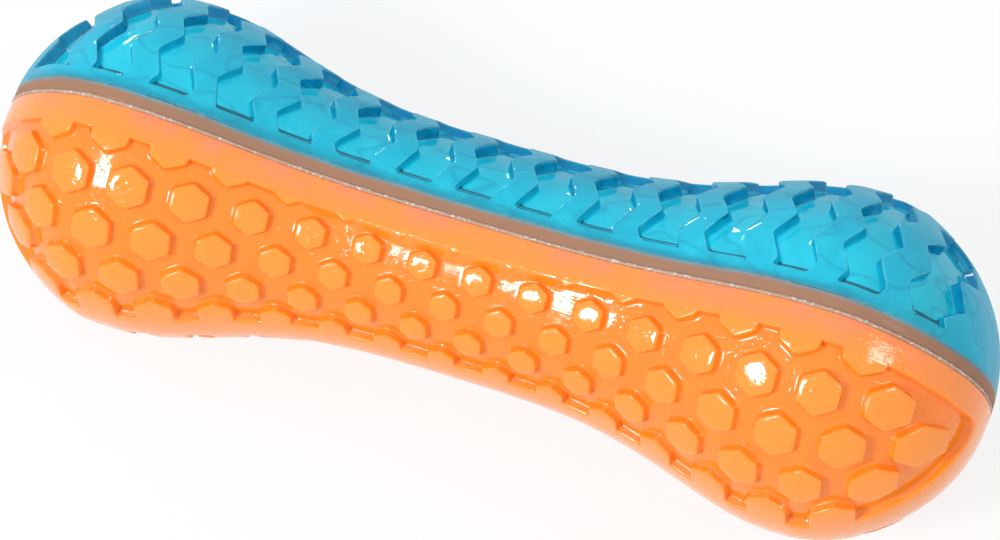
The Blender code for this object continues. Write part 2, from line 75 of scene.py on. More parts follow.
class Side(Enum):
    """Which side of the seam a half lies on: the sign of its Y."""

    TREAD = 1
    STUD = -1


class Level(Enum):
    """How an outline on the skin changes the ground inside it."""

    SUNK = "sunk"
    STANDING = "standing"


class Body(Enum):
    """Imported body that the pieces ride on."""

    TOY = "toy"


class Mark(Enum):
    """What a mesh stores: where each vertex came from, and which faces are sunk."""

    STATION = "station"
    TURN = "turn"
    SINK = "sink"
    LEDGE = "ledge"
    SUNK = "sunk"


@dataclass(frozen=True)
class BodyForm:
    """Outline of the whole toy, turned about its long axis and flattened along the seam."""

    length: float = 0.190
    bulb_radius: float = 0.0315
    grip_radius: float = 0.0219
    bulb_to_end: float = 0.0285
    bulb_flat: float = 0.005
    waist_power: float = 1.70
    end_power: float = 1.49
    end_roundness: float = 2.19
    wall: float = 0.0055
    seam_band: float = 0.0048
    seam_limit: float = math.radians(13.0)
    seam_blend: float = math.radians(2.5)
    arc_steps: int = 400
    pole_snap: float = 1e-5

    @property
    def half(self) -> float:
        """Half of the toy's length."""
        return self.length / 2

    @property
    def bulb_station(self) -> float:
        """Station of the widest place of each bulb."""
        return self.half - self.bulb_to_end

    @property
    def flat_start(self) -> float:
        """Station where the bulb's straight part starts."""
        return self.bulb_station - self.bulb_flat / 2

    @property
    def flat_end(self) -> float:
        """Station where the bulb's straight part ends and the end turns in."""
        return self.bulb_station + self.bulb_flat / 2

    @property
    def sheet_radius(self) -> float:
        """Radius at which turns are laid out as lengths on the flat sheet."""
        return (self.bulb_radius + self.grip_radius) / 2

    @property
    def sheet_width(self) -> float:
        """Width of the flat sheet, from the upper seam over the crown to the lower seam."""
        return math.pi * self.sheet_radius

    @cached_property
    def axis_height(self) -> float:
        """Height of the long axis above the floor."""
        return self.bulb_radius * math.cos(float(self.seam_turn(self.bulb_station)))

    def meridian(self, x: np.ndarray) -> tuple[np.ndarray, np.ndarray, np.ndarray]:
        """Radius and outward normal of the body.

        Args:
            x: Stations along the body.

        Returns:
            Radius, normal along X, and normal along the radius, at each station.
        """
        away = np.abs(x)
        rise = self.bulb_radius - self.grip_radius
        share = np.clip(away / self.flat_start, 0.0, 1.0)
        swing = np.pi * share**self.waist_power
        waist = self.grip_radius + rise * (0.5 - 0.5 * np.cos(swing))
        slope = rise * 0.5 * np.sin(swing) * np.pi * self.waist_power
        slope = slope * share ** (self.waist_power - 1) / self.flat_start
        reach = self.half - self.flat_end
        turned = np.clip((away - self.flat_end) / reach, 0.0, 1.0)
        fall = (1.0 - turned**self.end_power) ** (1.0 / self.end_roundness)
        along = self.end_power * turned ** (self.end_power - 1) / reach
        across = self.end_roundness * fall ** (self.end_roundness - 1) / self.bulb_radius
        beyond = away > self.flat_start
        along = np.where(beyond, along, -slope)
        across = np.where(beyond, across, 1.0)
        size = np.hypot(along, across)
        radius = np.where(beyond, self.bulb_radius * fall, waist)
        return radius, np.sign(x) * along / size, across / size

    def radius(self, x: float) -> float:
        """Radius of the body at one station."""
        return float(self.meridian(np.float64(x))[0])

    def band_turn(self, radius: np.ndarray) -> np.ndarray:
        """Half turn that the plain band along the seam takes up at a radius."""
        return np.arcsin(np.minimum(1.0, self.seam_band / np.maximum(radius, WELD)))

    def seam_turn(self, x: np.ndarray) -> np.ndarray:
        """Half turn of the straight flat along the seam, at each station."""
        return np.minimum(self.band_turn(self.meridian(x)[0]), self.seam_limit)

    @cached_property
    def arcs(self) -> tuple[np.ndarray, np.ndarray]:
        """Stations from end to end, and the distance of each from the middle along the skin."""
        steps = np.arange(-self.arc_steps, self.arc_steps + 1) / self.arc_steps
        x = self.half * np.sin(np.pi / 2 * steps)
        lengths = np.hypot(np.diff(x), np.diff(self.meridian(x)[0]))
        arc = np.concatenate([[0.0], np.cumsum(lengths)])
        return x, arc - arc[-1] / 2

    @cached_property
    def half_arc(self) -> float:
        """Distance from the middle to an end along the skin."""
        return float(self.arcs[1][-1])

    def arc_of(self, x: np.ndarray) -> np.ndarray:
        """Distance of each station from the middle, along the skin."""
        return np.interp(x, *self.arcs)

    def station_of(self, arc: np.ndarray) -> np.ndarray:
        """Finds stations by their distance along the skin.

        Args:
            arc: Distances from the middle.

        Returns:
            Stations, moved onto the pole where they lie close to it.
        """
        x = np.interp(arc, self.arcs[1], self.arcs[0])
        near = self.half - np.abs(x) < self.pole_snap
        return np.where(near, np.copysign(self.half, x), x)

    def place(
        self, x: np.ndarray, turn: np.ndarray, depth: np.ndarray, side: Side, least: float
    ) -> np.ndarray:
        """Puts points on one half of the body.

        Args:
            x: Stations.
            turn: Turns about the long axis, 0 at the upper seam and pi at the lower seam.
            depth: Depths below the skin, along its normal.
            side: The half.
            least: Least distance from the seam's plane.

        Returns:
            One row of X, Y and Z for each point.
        """
        radius, along, across = self.meridian(x)
        level = radius - depth * across
        near = np.minimum(turn, np.pi - turn)
        edge = self.seam_turn(x)
        blended = edge + (near - edge + self.seam_blend) ** 2 / (4 * self.seam_blend)
        eased = np.where(near < edge + self.seam_blend, blended, near)
        eased = np.where(near < edge - self.seam_blend, edge, eased)
        rise = np.where(turn > CROWN_TURN, -1.0, 1.0) * np.cos(eased)
        width = least + np.maximum(level - least, 0.0) * np.sin(turn)
        spot = [x - depth * along, side.value * width, self.axis_height + level * rise]
        return np.stack(np.broadcast_arrays(*spot), axis=-1)

    def field_low(self, x: float) -> float:
        """Turn at which the pattern starts above the seam band."""
        return math.asin(min(1.0, self.seam_band / max(self.radius(x), WELD)))


FORM = BodyForm()


@dataclass(frozen=True)
class CrownBand:
    """Plain band along the crown of each half, which widens where it turns down the ends."""

    half_width: float = 0.0042
    half_width_at_end: float = 0.0060
    end_band: float = 0.0030

    def field_high(self, x: float) -> float:
        """Finds where the pattern stops below the crown band.

        Args:
            x: Station.

        Returns:
            Turn of the band's edge.
        """
        share = max(0.0, (abs(x) - FORM.flat_end) / (FORM.half - FORM.flat_end))
        band = self.half_width + (self.half_width_at_end - self.half_width) * share**2
        return math.acos(min(1.0, band / max(FORM.radius(x), WELD)))

    def columns(
        self, pitch: float, stretch: float, before: float, after: float, offset: float = 0.0,
        phase: float = 0.0,
    ) -> list[float]:
        """Stations of a pattern's columns, wider apart towards the bulbs.

        Args:
            pitch: Distance between columns in the grip.
            stretch: Cubic growth of the distance.
            before: Reach of a column before its station.
            after: Reach of a column after its station.
            offset: Shift in steps.
            phase: Shift in metres.

        Returns:
            Stations whose columns leave the end bands plain.
        """
        limit = FORM.half - self.end_band
        count = math.ceil(FORM.half / pitch)
        steps = [number + offset for number in range(-count, count + 1)]
        found = [phase + pitch * step + stretch * step**3 for step in steps]
        return [x for x in found if -limit < x - before and x + after < limit]


CROWN = CrownBand()


def mirrored(outline: Outline) -> Outline:
    """The same outline on the other side of the crown, still run the same way round."""
    return [(x, math.pi - turn) for x, turn in reversed(outline)]


def nearest_tree(points: Sequence[Place]) -> kdtree.KDTree:
    """Makes a tree that finds the nearest of some points.

    Args:
        points: Points on the flat sheet.

    Returns:
        The tree, balanced.
    """
    tree = kdtree.KDTree(len(points))
    for index, (x, y) in enumerate(points):
        tree.insert((x, y, 0.0), index)
    tree.balance()
    return tree


def only(item: bpy.types.Object) -> None:
    """Leaves one object selected and active, in object mode.

    Args:
        item: The object.
    """
    if bpy.context.object is not None and bpy.context.object.mode != "OBJECT":
        bpy.ops.object.mode_set(mode="OBJECT")
    bpy.ops.object.select_all(action="DESELECT")
    item.select_set(True)
    bpy.context.view_layer.objects.active = item


def edit(item: bpy.types.Object, kind: str, action: str) -> None:
    """Opens an object in edit mode.

    Args:
        item: The object.
        kind: What is selected: VERT or FACE.
        action: SELECT to start with all of it, or DESELECT to start with none.
    """
    only(item)
    bpy.ops.object.mode_set(mode="EDIT")
    bpy.ops.mesh.select_mode(type=kind)
    bpy.ops.mesh.select_all(action=action)


def coordinates(item: bpy.types.Object) -> np.ndarray:
    """Reads the vertices of an object's mesh.

    Args:
        item: The object.

    Returns:
        One row of X, Y and Z for each vertex.
    """
    flat = np.empty(len(item.data.vertices) * 3)
    item.data.vertices.foreach_get("co", flat)
    return flat.reshape(-1, 3)


def set_coordinates(item: bpy.types.Object, rows: np.ndarray) -> None:
    """Moves the vertices of an object's mesh."""
    item.data.vertices.foreach_set("co", rows.ravel())
    item.data.update()


def write_mark(item: bpy.types.Object, mark: Mark, values: np.ndarray) -> None:
    """Stores one number for each vertex on the mesh.

    Args:
        item: The object.
        mark: What the numbers say.
        values: The numbers.
    """
    layer = item.data.attributes.get(mark.value)
    if layer is None:
        layer = item.data.attributes.new(mark.value, "FLOAT", "POINT")
    layer.data.foreach_set("value", values.astype(np.float32))


def select_faces(item: bpy.types.Object, chosen: np.ndarray) -> None:
    """Selects some faces, unselects the rest, and leaves the object in edit mode.

    Args:
        item: The object.
        chosen: Whether each face is selected.
    """
    edit(item, "FACE", "DESELECT")
    bpy.ops.object.mode_set(mode="OBJECT")
    item.data.polygons.foreach_set("select", chosen.astype(bool))
    bpy.ops.object.mode_set(mode="EDIT")


def weld(item: bpy.types.Object) -> None:
    """Merges doubled vertices, more widely at the poles, and turns all faces outwards.

    Args:
        item: The object.
    """
    edit(item, "VERT", "SELECT")
    bpy.ops.mesh.remove_doubles(threshold=WELD)
    bpy.ops.mesh.select_all(action="DESELECT")
    bpy.ops.object.mode_set(mode="OBJECT")
    tips = np.abs(coordinates(item)[:, 0]) > POLE_ZONE
    item.data.vertices.foreach_set("select", tips)
    bpy.ops.object.mode_set(mode="EDIT")
    bpy.ops.mesh.remove_doubles(threshold=POLE_WELD)
    bpy.ops.mesh.select_all(action="SELECT")
    bpy.ops.mesh.normals_make_consistent(inside=False)
    bpy.ops.object.mode_set(mode="OBJECT")


def joined(items: Sequence[bpy.types.Object], name: str) -> bpy.types.Object:
    """Joins objects into the first one.

    Args:
        items: The objects.
        name: Name of the whole.

    Returns:
        The whole.
    """
    only(items[0])
    for item in items[1:]:
        item.select_set(True)
    bpy.ops.object.join()
    items[0].name = name
    items[0].data.name = name
    return items[0]


@dataclass
class FlatSheet:
    """Half of the toy's skin laid out flat, with the arc along it and the turn across it."""

    grain: float = 0.0012
    outline_grain: float = 0.0006
    clearance: float = 0.0010
    shortest_edge: float = 0.00022
    easing: int = 1
    snap: float = 1e-5
    points: list[Place] = field(default_factory=list)
    edges: list[tuple[int, int]] = field(default_factory=list)
    rings: list[list[int]] = field(default_factory=list)
    levels: list[Level] = field(default_factory=list)

    @property
    def border_counts(self) -> tuple[int, int]:
        """Number of steps along the sheet and across it, on its border."""
        return round(2 * FORM.half_arc / self.grain), round(FORM.sheet_width / self.grain)

    def flat(self, outline: Iterable[Place]) -> np.ndarray:
        """Places of station and turn as points on the sheet."""
        rows = np.array(list(outline), dtype=float)
        return np.stack([FORM.arc_of(rows[:, 0]), rows[:, 1] * FORM.sheet_radius], axis=1)

    def refined(self, corners: np.ndarray) -> list[Place]:
        """Splits a closed run of straight edges into short ones.

        Args:
            corners: One row for each corner.

        Returns:
            Points along the run.
        """
        found: list[Place] = []
        for start, end in zip(corners, np.roll(corners, -1, axis=0)):
            count = max(1, math.ceil(np.hypot(*(end - start)) / self.outline_grain))
            found += [tuple(start + (end - start) * step / count) for step in range(count)]
        return found

    def add_both(self, outline: Outline, level: Level) -> None:
        """Adds a closed outline on both sides of the crown.

        Args:
            outline: Its corners, run anticlockwise.
            level: What becomes of the ground inside it.
        """
        for ring in (outline, mirrored(outline)):
            places = self.refined(self.flat(ring))
            start = len(self.points)
            self.points += places
            self.rings.append(list(range(start, start + len(places))))
            self.levels.append(level)

    def add_border(self) -> None:
        """Adds the two seam lines and the two ends as a closed run of edges."""
        along, across = self.border_counts
        arc = FORM.half_arc
        width = FORM.sheet_width
        run = [(-arc + 2 * arc * step / along, 0.0) for step in range(along)]
        run += [(arc, width * step / across) for step in range(across)]
        run += [(arc - 2 * arc * step / along, width) for step in range(along)]
        run += [(-arc, width - width * step / across) for step in range(across)]
        start = len(self.points)
        self.points += run
        count = len(run)
        self.edges += [(start + step, start + (step + 1) % count) for step in range(count)]

    def add_ground(self) -> None:
        """Fills the sheet with a triangular grid of points that keeps clear of all outlines."""
        tree = nearest_tree(self.points)
        row_step = self.grain * math.sqrt(3) / 2
        rows = int(FORM.sheet_width / row_step)
        columns = int(2 * FORM.half_arc / self.grain)
        for row in range(1, rows + 1):
            y = row * row_step
            for column in range(columns + 1):
                x = -FORM.half_arc + (column + 0.5 * (row % 2)) * self.grain
                if abs(x) < FORM.half_arc and tree.find((x, y, 0.0))[2] > self.clearance:
                    self.points.append((x, y))

    def outline_neighbours(
        self, bm: bmesh.types.BMesh, layer: bmesh.types.BMLayerItem
    ) -> dict[bmesh.types.BMVert, list[bmesh.types.BMVert]]:
        """Follows the lines between sunk and standing ground.

        Args:
            bm: Mesh of the flat sheet.
            layer: Layer that says which faces are sunk.

        Returns:
            Neighbours along the line of each vertex that lies on one.
        """
        ring: dict[bmesh.types.BMVert, list[bmesh.types.BMVert]] = {}
        for edge in bm.edges:
            if len({face[layer] for face in edge.link_faces}) == 2:
                first, second = edge.verts
                ring.setdefault(first, []).append(second)
                ring.setdefault(second, []).append(first)
        return ring

    def ease_outlines(self, bm: bmesh.types.BMesh, layer: bmesh.types.BMLayerItem) -> None:
        """Drops the outlines' shortest edges and rounds their corners a little.

        Args:
            bm: Mesh of the flat sheet.
            layer: Layer that says which faces are sunk.
        """
        near = list(self.outline_neighbours(bm, layer))
        bmesh.ops.remove_doubles(bm, verts=near, dist=self.shortest_edge)
        ring = self.outline_neighbours(bm, layer)
        for _ in range(self.easing):
            moved = {
                vert: vert.co * 0.5 + (pair[0].co + pair[1].co) * 0.25
                for vert, pair in ring.items()
                if len(pair) == 2
            }
            for vert, spot in moved.items():
                vert.co = spot

    def build(self, name: str) -> bpy.types.Object:
        """Makes the flat sheet's mesh, with its sunk faces marked.

        Args:
            name: Name of the object.

        Returns:
            The object.
        """
        self.add_border()
        self.add_ground()
        spots = [Vector((x / MILLI, y / MILLI)) for x, y in self.points]
        verts, _, faces, _, _, origins = delaunay_2d_cdt(
            spots, self.edges, self.rings, CONVEX_HULL, self.snap, True
        )
        mesh = bpy.data.meshes.new(name)
        mesh.from_pydata([(v.x * MILLI, v.y * MILLI, 0.0) for v in verts], [], faces)
        bm = bmesh.new()
        bm.from_mesh(mesh)
        layer = bm.faces.layers.int.new(Mark.SUNK.value)
        for face, rings in zip(bm.faces, origins):
            found = {self.levels[ring] for ring in rings}
            face[layer] = Level.SUNK in found and Level.STANDING not in found
        self.ease_outlines(bm, layer)
        bm.to_mesh(mesh)
        bm.free()
        item = bpy.data.objects.new(name, mesh)
        bpy.context.scene.collection.objects.link(item)
        return item


@dataclass(frozen=True)
class EdgeStep:
    """One inset of a moulded edge: how far it goes across and how much it rises."""

    across: float
    rise: float


@dataclass(frozen=True)
class SeamStep:
    """One ring of the seam: its depth below the skin and its distance from the seam's plane."""

    depth: float
    level: float


@dataclass
class HalfShell:
    """One moulded half: a patterned skin, a stepped seam, and a hollow inside."""

    side: Side
    sheet: FlatSheet
    crest: tuple[EdgeStep, ...]
    foot: tuple[EdgeStep, ...]
    skin_level: float
    seam: tuple[SeamStep, ...]

    def lay_out(self) -> None:
        """Puts the pattern's outlines on the sheet."""
        raise NotImplementedError

    def dress(self, shell: bpy.types.Object) -> None:
        """Gives the finished half its materials."""
        raise NotImplementedError

    def inset(self, steps: Sequence[EdgeStep]) -> None:
        """Insets the selected ground step by step, and leaves it selected.

        Args:
            steps: The steps of the edge, from the outside in.
        """
        for step in steps:
            bpy.ops.mesh.inset(
                thickness=step.across, depth=step.rise, use_boundary=False, use_even_offset=False
            )
        bpy.ops.object.mode_set(mode="OBJECT")

    def carve(self, item: bpy.types.Object) -> None:
        """Sinks the pattern with a rounded foot and rounds the crest of what stands.

        Args:
            item: The flat sheet.
        """
        marks = np.empty(len(item.data.polygons), np.int32)
        item.data.attributes[Mark.SUNK.value].data.foreach_get("value", marks)
        select_faces(item, marks > 0)
        self.inset(self.foot)
        low = coordinates(item)[:, 2] < -WELD / 2
        standing = np.array([not low[list(face.vertices)].any() for face in item.data.polygons])
        select_faces(item, standing)
        self.inset(self.crest)
        rows = coordinates(item)
        rows[:, 2] -= sum(step.rise for step in self.crest)
        set_coordinates(item, rows)

    def wrap(self, item: bpy.types.Object, least: float) -> None:
        """Wraps a flat sheet onto the body, and keeps each vertex's place on the mesh.

        Args:
            item: The flat sheet.
            least: Least distance from the seam's plane.
        """
        rows = coordinates(item)
        stations = FORM.station_of(rows[:, 0])
        turns = np.clip(rows[:, 1] / FORM.sheet_radius, 0.0, np.pi)
        write_mark(item, Mark.STATION, stations)
        write_mark(item, Mark.TURN, turns)
        write_mark(item, Mark.SINK, -rows[:, 2])
        set_coordinates(item, FORM.place(stations, turns, -rows[:, 2], self.side, least))

    def grow_seam(self, item: bpy.types.Object) -> None:
        """Extrudes the skin's open edge through the steps of the seam.

        Args:
            item: The wrapped skin.
        """
        edit(item, "VERT", "DESELECT")
        bpy.ops.mesh.select_non_manifold()
        for step in self.seam:
            bpy.ops.mesh.extrude_edges_move()
            bm = bmesh.from_edit_mesh(item.data)
            station = bm.verts.layers.float[Mark.STATION.value]
            turn = bm.verts.layers.float[Mark.TURN.value]
            ring = [vert for vert in bm.verts if vert.select]
            x = np.array([vert[station] for vert in ring])
            turns = np.where(np.array([vert[turn] for vert in ring]) > CROWN_TURN, np.pi, 0.0)
            spots = FORM.place(x, turns, np.full(len(ring), step.depth), self.side, 0.0)
            for vert, spot in zip(ring, spots):
                vert.co = (spot[0], self.side.value * step.level, spot[2])
            bmesh.update_edit_mesh(item.data)
        bpy.ops.object.mode_set(mode="OBJECT")

    def hollow(self) -> bpy.types.Object:
        """Makes the inner skin from a flat grid wrapped at the wall's depth.

        Returns:
            The inner skin.
        """
        along, across = self.sheet.border_counts
        bpy.ops.mesh.primitive_grid_add(
            x_subdivisions=along, y_subdivisions=across, size=1.0, location=(0.0, 0.0, 0.0)
        )
        item = bpy.context.object
        rows = coordinates(item)
        rows[:, 0] *= 2 * FORM.half_arc
        rows[:, 1] = (rows[:, 1] + 0.5) * FORM.sheet_width
        rows[:, 2] = -FORM.wall
        set_coordinates(item, rows)
        self.wrap(item, self.seam[-1].level)
        return item

    def build(self, name: str) -> bpy.types.Object:
        """Makes the whole half as one closed mesh, and dresses it.

        Args:
            name: Name of the piece.

        Returns:
            The piece.
        """
        self.lay_out()
        item = self.sheet.build(name)
        self.carve(item)
        self.finish_flat(item)
        self.wrap(item, self.skin_level)
        weld(item)
        self.grow_seam(item)
        shell = joined([item, self.hollow()], name)
        weld(shell)
        bpy.ops.object.shade_smooth_by_angle(angle=SHARP_ANGLE)
        self.dress(shell)
        return shell

    def mark_ledge(self, item: bpy.types.Object) -> np.ndarray:
        """Measures how far each vertex lies inwards of the line where the pattern starts.

        Args:
            item: The flat sheet, which stores the distances too.

        Returns:
            The distances.
        """
        rows = coordinates(item)
        radii = FORM.meridian(FORM.station_of(rows[:, 0]))[0]
        turns = rows[:, 1] / FORM.sheet_radius
        inward = (np.minimum(turns, np.pi - turns) - FORM.band_turn(radii)) * radii
        write_mark(item, Mark.LEDGE, inward)
        return inward

    def finish_flat(self, item: bpy.types.Object) -> None:
        """Last touches on the flat sheet, before it is wrapped."""
        self.mark_ledge(item)


@dataclass
class TreadHalf(HalfShell):
    """Clear blue half with zigzag pockets between its ribs."""

    side: Side = Side.TREAD
    sheet: FlatSheet = field(default_factory=FlatSheet)
    crest: tuple[EdgeStep, ...] = (
        EdgeStep(0.00007, 0.00012),
        EdgeStep(0.00013, 0.00008),
        EdgeStep(0.00020, 0.00004),
    )
    foot: tuple[EdgeStep, ...] = (
        EdgeStep(0.00004, -0.00025),
        EdgeStep(0.00026, -0.00142),
        EdgeStep(0.00009, -0.00022),
        EdgeStep(0.00014, -0.00014),
    )
    skin_level: float = 0.0009
    seam: tuple[SeamStep, ...] = (
        SeamStep(0.0001, 0.0007),
        SeamStep(0.0003, 0.0006),
        SeamStep(0.0015, 0.0006),
        SeamStep(0.0015, 0.0033),
        SeamStep(0.0055, 0.0033),
    )
    pitch: float = 0.0114
    stretch: float = 9.5e-6
    phase: float = 0.0022
    pocket_width: float = 0.0070
    zig_offset: float = 0.0027
    zig_half_period: float = 0.0053
    zig_anchor: float = math.radians(42.5)
    least_share: float = 0.2
    lining_margin: float = 0.0001

    def wall_place(self, x: float, turn: float, half_period: float) -> Place:
        """Finds a place on a zigzag wall.

        Args:
            x: Station that the wall zigzags from.
            turn: Turn of the place.
            half_period: Turn from one bend to the next.

        Returns:
            Its station and turn.
        """
        share = (turn - self.zig_anchor) / half_period
        nearest = 2 * round(share / 2)
        return x + self.zig_offset * abs(share - nearest), turn

    def zigzag(self, x: float) -> Outline:
        """Runs one wall of the tread from the seam band up to the crown band.

        Args:
            x: Station that the wall zigzags from.

        Returns:
            Its two ends, and its bends that aren't too close to them.
        """
        low, high = FORM.field_low(x), CROWN.field_high(x)
        half_period = self.zig_half_period / FORM.radius(x)
        first = math.ceil((low - self.zig_anchor) / half_period)
        last = math.floor((high - self.zig_anchor) / half_period)
        least = self.least_share * half_period
        bends = [self.zig_anchor + step * half_period for step in range(first, last + 1)]
        turns = [low] + [turn for turn in bends if low + least < turn < high - least] + [high]
        return [self.wall_place(x, turn, half_period) for turn in turns]

    def lay_out(self) -> None:
        """Puts the pockets of both sides of the crown on the sheet."""
        stations = CROWN.columns(
            self.pitch, self.stretch, self.pocket_width, self.zig_offset, phase=self.phase
        )
        for x in stations:
            near = self.zigzag(x - self.pocket_width)
            self.sheet.add_both(self.zigzag(x) + near[::-1], Level.SUNK)

    def dress(self, shell: bpy.types.Object) -> None:
        """Gives the half clear blue rubber outside and the lining on its hollow's inner face.

        Args:
            shell: The half.
        """
        blue = ClearBlueRubber()
        shell.data.materials.append(blue.skin())
        shell.data.materials.append(blue.lining())
        sinks = np.empty(len(shell.data.vertices), np.float32)
        shell.data.attributes[Mark.SINK.value].data.foreach_get("value", sinks)
        for face in shell.data.polygons:
            if all(sinks[index] > FORM.wall - self.lining_margin for index in face.vertices):
                face.material_index = 1


@dataclass
class StudHalf(HalfShell):
    """Orange half with rows of hexagon studs in a sunk field."""

    side: Side = Side.STUD
    sheet: FlatSheet = field(default_factory=FlatSheet)
    crest: tuple[EdgeStep, ...] = (
        EdgeStep(0.00006, 0.00015),
        EdgeStep(0.00012, 0.00010),
        EdgeStep(0.00022, 0.00005),
    )
    foot: tuple[EdgeStep, ...] = (
        EdgeStep(0.00005, -0.00030),
        EdgeStep(0.00020, -0.00070),
        EdgeStep(0.00012, -0.00018),
        EdgeStep(0.00018, -0.00010),
        EdgeStep(0.00020, -0.00002),
    )
    skin_level: float = 0.00035
    seam: tuple[SeamStep, ...] = (
        SeamStep(0.0001, 0.0001),
        SeamStep(0.00035, 0.0),
        SeamStep(0.0017, 0.0),
        SeamStep(0.0017, -0.003),
        SeamStep(0.0055, -0.003),
        SeamStep(0.0055, 0.0),
    )
    pitch: float = 0.01045
    stretch: float = 7.7e-6
    row_start: float = math.radians(8.2)
    row_step: float = math.radians(17.25)
    rows: int = 5
    edge_row_band: float = 0.0060
    row_edge: float = math.radians(2.0)
    flats_ratio: float = 0.232
    dome: float = 0.00012
    dimple: float = 0.00008
    dimple_reach: float = 0.4
    field_steps: int = 120
    tip_width: float = 0.0030
    tip_steps: int = 8
    halvings: int = 40
    slope_at_grip: float = 0.0030
    slope_at_bulb: float = 0.0006
    slope_reach: float = 0.045
    centres: list[tuple[Place, float]] = field(default_factory=list)

    @property
    def crown_edge(self) -> float:
        """Highest turn of a stud."""
        return CROWN_TURN - self.row_edge

    def hexagon(self, x: float, turn: float) -> Outline:
        """Outlines one stud's top, which grows from the grip to the bulbs.

        Args:
            x: Station of its middle.
            turn: Turn of its middle.

        Returns:
            Its six corners.
        """
        reach = self.stud_reach(x)
        corners = []
        for number in range(6):
            swing = math.radians(30 + 60 * number)
            station = x + reach * math.cos(swing)
            corner = turn + reach * math.sin(swing) / FORM.radius(station)
            corners.append((station, max(self.row_edge, min(self.crown_edge, corner))))
        return corners

    def stud_reach(self, x: float) -> float:
        """Distance from a stud's centre to its corners."""
        return self.flats_ratio * FORM.radius(min(abs(x), FORM.bulb_station)) / math.sqrt(3)

    def field_outline(self) -> Outline:
        """Outlines the sunk field between the seam band and the crown band.

        Returns:
            The seam band's edge, one tip, the crown band's edge, and the other tip.
        """
        corner = self.field_corner()
        inner = []
        for step in range(-self.field_steps, self.field_steps + 1):
            x = corner * step / self.field_steps
            if (CROWN.field_high(x) - FORM.field_low(x)) * FORM.radius(x) > self.tip_width:
                inner.append(x)
        lower = [(x, FORM.field_low(x)) for x in inner]
        upper = [(x, CROWN.field_high(x)) for x in reversed(inner)]
        right = self.rounded_tip(lower[-1], (corner, FORM.field_low(corner)), upper[0])
        left = self.rounded_tip(upper[-1], (-corner, FORM.field_low(corner)), lower[0])
        return lower + right + upper + left

    def rounded_tip(self, start: Place, corner: Place, end: Place) -> Outline:
        """Rounds off the field's pointed tip.

        Args:
            start: Place where the curve starts.
            corner: The pointed tip.
            end: Place where the curve ends.

        Returns:
            Places along the curve, without its ends.
        """
        places = []
        for step in range(1, self.tip_steps):
            share = step / self.tip_steps
            weights = ((1 - share) ** 2, 2 * share * (1 - share), share**2)
            spots = (start, corner, end)
            places.append(
                tuple(sum(w * spot[axis] for w, spot in zip(weights, spots)) for axis in (0, 1))
            )
        return places

    def field_corner(self) -> float:
        """Finds where the seam band and the crown band meet on the end.

        Returns:
            The station.
        """
        low, high = FORM.bulb_station, FORM.half
        for _ in range(self.halvings):
            middle = (low + high) / 2
            if FORM.field_low(middle) < CROWN.field_high(middle):
                low = middle
            else:
                high = middle
        return low

    def lay_out(self) -> None:
        """Puts the sunk field and the studs of both sides of the crown on the sheet."""
        self.sheet.add_both(self.field_outline(), Level.SUNK)
        for row in range(self.rows):
            self.lay_row(row)

    def lay_row(self, row: int) -> None:
        """Puts one row of studs on both sides of the crown. The crown row joins its band.

        Args:
            row: Number of the row, from the seam band up.
        """
        turn = self.row_start + self.row_step * row
        edge_row = row in (0, self.rows - 1)
        band = self.edge_row_band if edge_row else 0
        reach = self.flats_ratio * FORM.bulb_radius / 2 + band
        for x in CROWN.columns(self.pitch, self.stretch, reach, reach, 0.5 * (row % 2)):
            stud = self.hexagon(x, turn)
            if row == self.rows - 1:
                stud = [(s, self.crown_edge if t >= turn else t) for s, t in stud]
            self.sheet.add_both(stud, Level.STANDING)
            if not edge_row:
                self.centres.append(((x, turn), self.stud_reach(x)))
                self.centres.append(((x, math.pi - turn), self.stud_reach(x)))

    def finish_flat(self, item: bpy.types.Object) -> None:
        """Crowns and dimples each whole stud, and eases the rim down to the field in the grip.

        Args:
            item: The flat sheet.
        """
        tree = nearest_tree(self.sheet.flat(place for place, _ in self.centres))
        rows = coordinates(item)
        floor = rows[:, 2].min()
        stations = FORM.station_of(rows[:, 0])
        inward = self.mark_ledge(item)
        share = np.clip(np.abs(stations) / self.slope_reach, 0.0, 1.0)
        ease = share**2 * (3.0 - 2.0 * share)
        width = self.slope_at_grip + (self.slope_at_bulb - self.slope_at_grip) * ease
        along = np.clip(inward / width, 0.0, 1.0)
        slope = floor * along**2 * (3.0 - 2.0 * along)
        rows[:, 2] = np.maximum(rows[:, 2], slope)
        for row in rows:
            if row[2] > -WELD:
                _, index, distance = tree.find((row[0], row[1], 0.0))
                share = distance / self.centres[index][1]
                if share < 1.0:
                    row[2] += self.dome * (1.0 - share**2)
                    row[2] -= self.dimple * math.exp(-((share / self.dimple_reach) ** 2))
        set_coordinates(item, rows)

    def dress(self, shell: bpy.types.Object) -> None:
        """Gives the half its orange rubber."""
        shell.data.materials.append(OrangeRubber().material())


